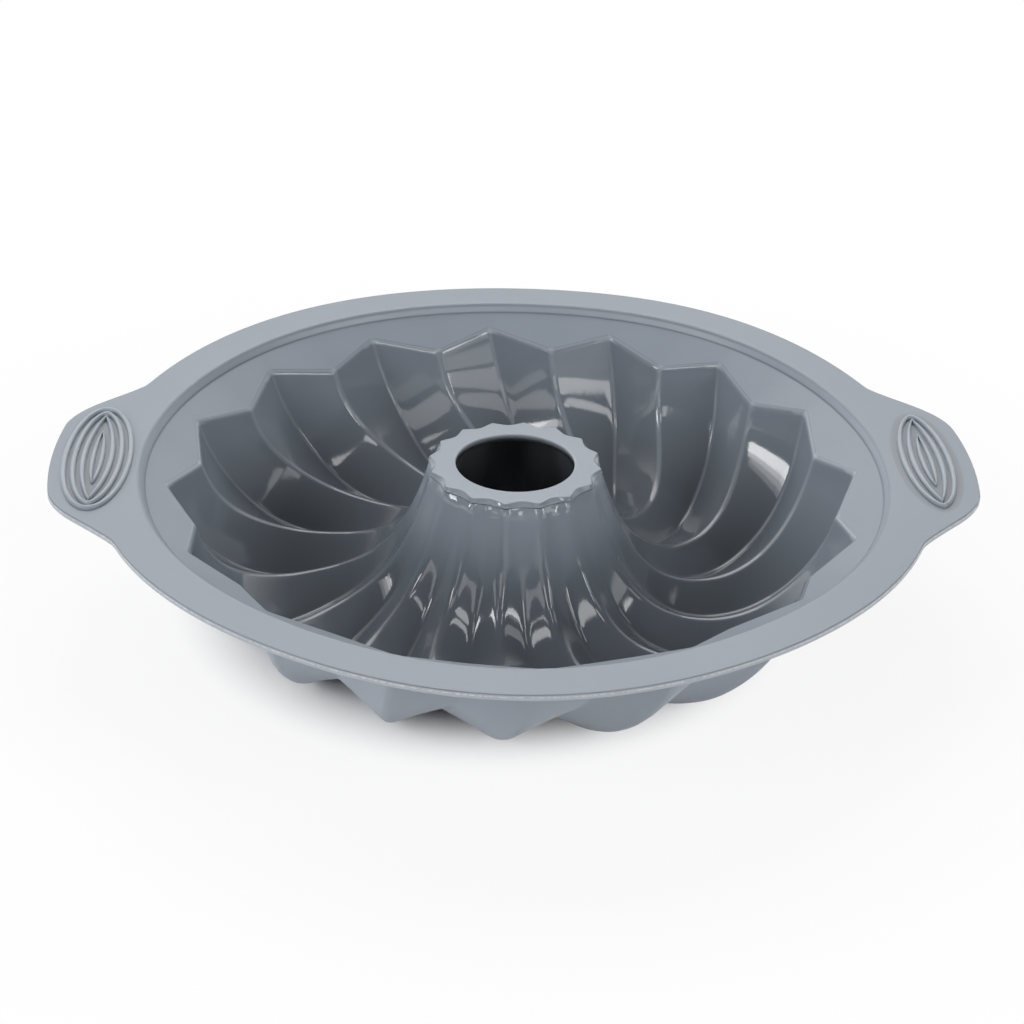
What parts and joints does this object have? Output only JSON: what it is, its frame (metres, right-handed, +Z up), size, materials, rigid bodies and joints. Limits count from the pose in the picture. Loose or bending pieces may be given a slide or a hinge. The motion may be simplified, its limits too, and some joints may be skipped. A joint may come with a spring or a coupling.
{
  "type": "silicone ring cake mould",
  "caption": "Flexible round cake mould: a swirled, fluted ring trough around an open chimney, with a thin flat rim and two ribbed tab handles.",
  "frame": {"origin": "on the surface that the mould stands on, under the middle of the chimney", "axes": "+Z up, X through the two handles, Y across them"},
  "size_m": [0.2776, 0.25, 0.0486],
  "materials": {
    "silicone_rim": "satin",
    "silicone_cavity": "semi-gloss"
  },
  "bodies": {
    "root": {"handle_right": "silicone_rim", "handle_left": "silicone_rim", "rim_back": "silicone_rim", "rim_front": "silicone_rim", "lip": "silicone_rim", "chimney_collar": "silicone_rim", "flute_01": "silicone_cavity", "flute_02": "silicone_cavity", "flute_03": "silicone_cavity", "flute_04": "silicone_cavity", "flute_05": "silicone_cavity", "flute_06": "silicone_cavity", "flute_07": "silicone_cavity", "flute_08": "silicone_cavity", "flute_09": "silicone_cavity", "flute_10": "silicone_cavity", "flute_11": "silicone_cavity", "flute_12": "silicone_cavity", "flute_13": "silicone_cavity", "flute_14": "silicone_cavity", "flute_15": "silicone_cavity", "flute_16": "silicone_cavity", "chimney": "silicone_cavity"}
  },
  "joints": []
}
